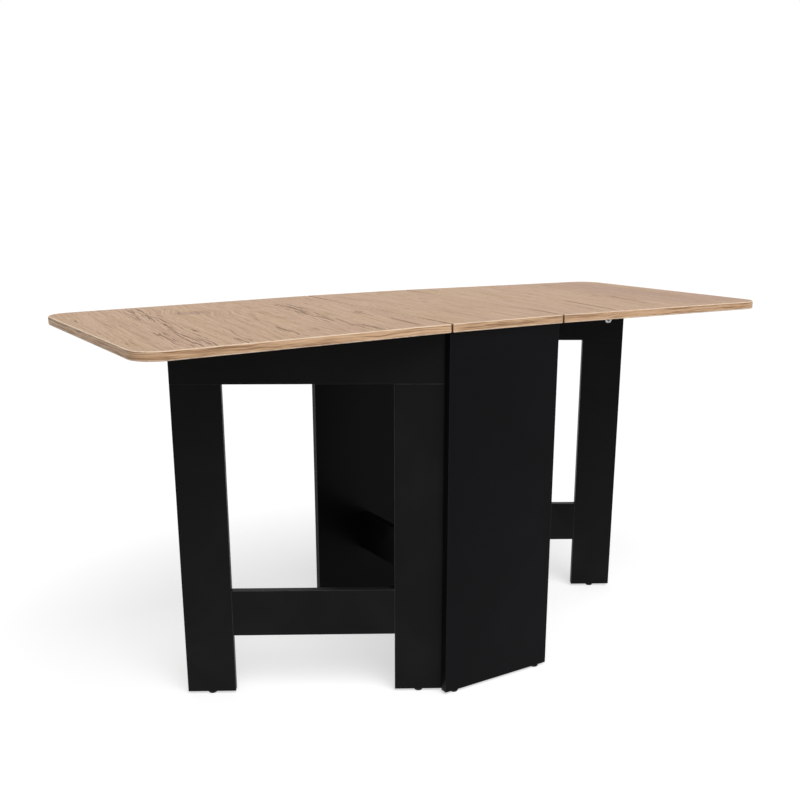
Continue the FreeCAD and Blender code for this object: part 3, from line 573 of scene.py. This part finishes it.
def makeBlack(name, boards, finish):
    def grey(part):
        # the set's strength gives the pedestal a darker, painted-shade copy of the black
        shade = finish[part] * boards["level"]
        return (shade, shade, shade * boards["cool"])

    material, tree, shader = startMaterial(name)
    spot = objectSpot(tree)
    speck = noise(tree, spot, **finish["speck"])
    smears = noise(tree, spot, **finish["smears"])
    colour = blendColours(tree, ease(tree, smears, *finish["smearRange"]), grey("face"), grey("smear"))
    squared = stretch(tree, surfaceNormal(tree), (1.0, 1.0, 1.0), turn=boards["turn"])
    nx, ny, nz = [size(tree, part) for part in parts(tree, squared)]
    squarest = calc(tree, "MAXIMUM", calc(tree, "MAXIMUM", nx, ny), nz)
    # painted highlight and wear: pale arrises where the rounded edges would catch the light, broken up by
    # rubbing
    wear = ease(tree, noise(tree, spot, **finish["rubbed"]), *finish["wearRange"])
    edge = calc(tree, "MULTIPLY", ease(tree, squarest, *finish["arrisFacing"]), wear)
    colour = blendColours(tree, edge, colour, grey("arris"))
    roughness = ease(tree, smears, *finish["roughRange"])
    dress(tree, shader, colour, roughness, relief(tree, speck, *finish["relief"]))
    shader.inputs["Specular IOR Level"].default_value = boards["gloss"]
    return material


for materialName, boards in blackShadeCopies.items():
    blackFinish = makeBlack(materialName, boards, blackBoard)
    for nodeName in boards["nodes"]:
        coat(nodeName, blackFinish)
print("black boards finished")

# plated hinges, screws and bolts, and bright cams
platedSteel = {
    "base": (0.540, 0.545, 0.550),
    "dull": (0.380, 0.385, 0.395),
    "cloud": {"scale": 160.0, "detail": 4.0, "rough": 0.6},
    "brushed": {"cells": (2600.0, 2600.0, 140.0)},
    "dullRange": (0.35, 0.70),
    "roughRange": (0.3, 0.7, 0.28, 0.46),
    "relief": (0.00003, 0.4),
    "ends": ("screws", "plates", "pins", "cam_bolts"),
}
brightZinc = {
    "base": (0.620, 0.615, 0.605),
    "dull": (0.170, 0.168, 0.165),
    "cloud": {"scale": 300.0, "detail": 4.0, "rough": 0.6},
    "brushed": {"cells": (2600.0, 2600.0, 140.0)},
    "dullRange": (0.35, 0.70),
    "roughRange": (0.3, 0.7, 0.22, 0.40),
    "relief": (0.00003, 0.4),
    "socketShade": (0.004, 0.004, 0.004),
    # painted shade: the driver socket below the cam's face turns near black
    "holeDepth": (0.00024, 0.0008),  # below the cam's face, where its driver socket turns dark
    "faces": {
        # axis of the cams, and whether their faces are the ends nearest to the middle or farthest off
        "left_gate_cams": (gateAcross, min),
        "right_gate_cams": (gateAcross, min),
        "top_cams": ((0.0, 1.0, 0.0), min),
        "stretcher_cams": ((1.0, 0.0, 0.0), max),
    },
}


def makeMetal(name, finish):
    material, tree, shader = startMaterial(name)
    spot = objectSpot(tree)
    cloud = noise(tree, spot, **finish["cloud"])
    brushed = grained(tree, spot, **finish["brushed"])
    colour = blendColours(tree, ease(tree, cloud, *finish["dullRange"]), finish["base"], finish["dull"])
    roughness = ease(tree, cloud, *finish["roughRange"])
    dress(tree, shader, colour, roughness, relief(tree, brushed, *finish["relief"]))
    shader.inputs["Metallic"].default_value = 1.0
    return material, tree, shader, colour


def makeCam(node, axis, faceEnd, finish):
    material, tree, shader, colour = makeMetal("bright zinc " + node, finish)
    face = faceEnd(abs(Vector(axis).dot(vertex.co)) for vertex in frame["nodes"][node].data.vertices)
    along = addNode(tree, "ShaderNodeVectorMath", {0: objectSpot(tree), 1: axis}, operation="DOT_PRODUCT")
    depth = size(tree, calc(tree, "SUBTRACT", size(tree, along.outputs["Value"]), face))
    # painted shade in the driver socket's recess
    inHole = ease(tree, depth, *finish["holeDepth"])
    plug(tree, shader.inputs["Base Color"], blendColours(tree, inHole, colour, finish["socketShade"]))
    return material


# moulded plastic glides and stops, and beech pegs
plastic = {
    "base": (0.0040, 0.0040, 0.0043),
    "scuff": (0.012, 0.012, 0.013),
    "gloss": 0.20,
    "speck": {"scale": 2200.0},
    "scuffs": {"scale": 120.0, "detail": 4.0, "rough": 0.65},
    "scuffRange": (0.45, 0.75),
    "roughRange": (0.3, 0.7, 0.36, 0.55),
    "relief": (0.00004, 0.5),
    "ends": ("glides", "stop"),
}
beech = {
    "pale": (0.58, 0.40, 0.25),
    "deep": (0.42, 0.27, 0.15),
    "flecks": {"cells": (900.0, 900.0, 120.0), "detail": 3.0, "rough": 0.6},
    "fleckRange": (0.35, 0.70),
    "roughRange": (0.3, 0.7, 0.55, 0.70),
    "relief": (0.0001, 0.4),
    "ends": ("dowels",),
}


def makePlastic(name, finish):
    material, tree, shader = startMaterial(name)
    spot = objectSpot(tree)
    speck = noise(tree, spot, **finish["speck"])
    scuffs = noise(tree, spot, **finish["scuffs"])
    colour = blendColours(tree, ease(tree, scuffs, *finish["scuffRange"]), finish["base"], finish["scuff"])
    roughness = ease(tree, scuffs, *finish["roughRange"])
    dress(tree, shader, colour, roughness, relief(tree, speck, *finish["relief"]))
    shader.inputs["Specular IOR Level"].default_value = finish["gloss"]
    return material


def makeBeech(name, finish):
    material, tree, shader = startMaterial(name)
    flecks = grained(tree, objectSpot(tree), **finish["flecks"])
    colour = blendColours(tree, ease(tree, flecks, *finish["fleckRange"]), finish["pale"], finish["deep"])
    roughness = ease(tree, flecks, *finish["roughRange"])
    dress(tree, shader, colour, roughness, relief(tree, flecks, *finish["relief"]))
    return material


hardware = [
    (platedSteel["ends"], makeMetal("plated steel", platedSteel)[0]),
    (plastic["ends"], makePlastic("black plastic", plastic)),
    (beech["ends"], makeBeech("beech", beech)),
]
for nodeName in frame["nodes"]:
    for ends, material in hardware:
        if nodeName.endswith(ends):
            coat(nodeName, material)
for nodeName, (axis, faceEnd) in brightZinc["faces"].items():
    coat(nodeName, makeCam(nodeName, axis, faceEnd, brightZinc))
print("hardware finished")

# stage: white floor that keeps the shadow, with a painted shadow under the rear end panel, white surround,
# soft studio light from afar
stageLook = {
    "floorHalf": 12.0,  # metres from the middle to each side
    "floorNear": (0.56, 0.56, 0.56),
    "floorFar": (0.12, 0.12, 0.12),
    "floorLift": (0.55, 0.92),  # near, far: makes up for what the floor returns
    "poolReach": (0.5, 1.7),  # metres from the middle, where the near floor turns into the far one
    # painted shadow: the floor under this board is painted near black and gets no lift
    "paintedShadowBoard": "rear_end_panel",  # hardly any light gets under this board
    "paintedShadowColour": (0.02, 0.02, 0.02),
    "surround": (1.0, 1.0, 1.0),
    "surroundLight": 0.42,  # strength that lights the table; seen, the surround has 1
}
lamps = {
    # degrees above level, degrees round from -Y towards +X, softness in degrees, strength
    "key": {"height": 54.0, "round": -6.0, "soft": 45.0, "strength": 1.90},
    "fill": {"height": 15.0, "round": -12.0, "soft": 90.0, "strength": 0.80},
}


def seenWhite(tree):
    path = addNode(tree, "ShaderNodeLightPath")
    seen = calc(tree, "MAXIMUM", path.outputs["Is Camera Ray"], path.outputs["Is Glossy Ray"])
    return calc(tree, "MAXIMUM", seen, path.outputs["Is Transmission Ray"])


def outsideBoard(tree, node):
    low, high = [Vector(corner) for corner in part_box(node)]
    middle = (low + high) / 2
    half = (high - low) / 2
    x, y = parts(tree, objectSpot(tree))[:2]
    beyondX = calc(tree, "GREATER_THAN", size(tree, calc(tree, "SUBTRACT", x, middle.x)), half.x)
    beyondY = calc(tree, "GREATER_THAN", size(tree, calc(tree, "SUBTRACT", y, middle.y)), half.y)
    return calc(tree, "MAXIMUM", beyondX, beyondY)


def makeFloor(look):
    mesh = bpy.data.meshes.new("floor")
    shape = bmesh.new()
    bmesh.ops.create_grid(shape, x_segments=1, y_segments=1, size=look["floorHalf"])
    shape.to_mesh(mesh)
    shape.free()
    floor = addObject("floor", mesh)
    material = bpy.data.materials.new("floor")
    tree = emptyTree(material)
    reach = addNode(tree, "ShaderNodeVectorMath", {0: objectSpot(tree)}, operation="LENGTH").outputs["Value"]
    away = ease(tree, reach, *look["poolReach"])
    # painted shadow: under the rear end panel the floor turns near black and loses its lift
    outsidePaintedShadow = outsideBoard(tree, look["paintedShadowBoard"])
    colour = blendColours(tree, away, look["floorNear"], look["floorFar"])
    colour = blendColours(tree, outsidePaintedShadow, look["paintedShadowColour"], colour)
    matt = addNode(tree, "ShaderNodeBsdfDiffuse", {"Color": colour})
    lift = calc(tree, "MULTIPLY", seenWhite(tree), ease(tree, away, 0.0, 1.0, *look["floorLift"]))
    lift = calc(tree, "MULTIPLY", lift, outsidePaintedShadow)
    glow = addNode(tree, "ShaderNodeEmission", {"Strength": lift})
    both = addNode(tree, "ShaderNodeAddShader", {0: matt.outputs["BSDF"], 1: glow.outputs["Emission"]})
    addNode(tree, "ShaderNodeOutputMaterial", {"Surface": both.outputs["Shader"]})
    mesh.materials.append(material)


def makeSurround(look):
    world = bpy.data.worlds.new("surround")
    bpy.context.scene.world = world
    tree = emptyTree(world)
    strength = ease(tree, seenWhite(tree), 0.0, 1.0, look["surroundLight"], 1.0)
    sky = addNode(tree, "ShaderNodeBackground", {"Color": look["surround"], "Strength": strength})
    addNode(tree, "ShaderNodeOutputWorld", {"Surface": sky.outputs["Background"]})


def makeLamp(name, lamp):
    data = bpy.data.lights.new(name, "SUN")
    data.energy = lamp["strength"]
    data.angle = math.radians(lamp["soft"])
    # a sun that isn't turned shines straight down
    addObject(name, data).matrix_world = turned(lamp["round"], "Z") @ turned(90 - lamp["height"], "X")


makeFloor(stageLook)
makeSurround(stageLook)
for lampName, lamp in lamps.items():
    makeLamp(lampName, lamp)
bpy.context.scene.view_settings.view_transform = "Standard"
print("stage lit")
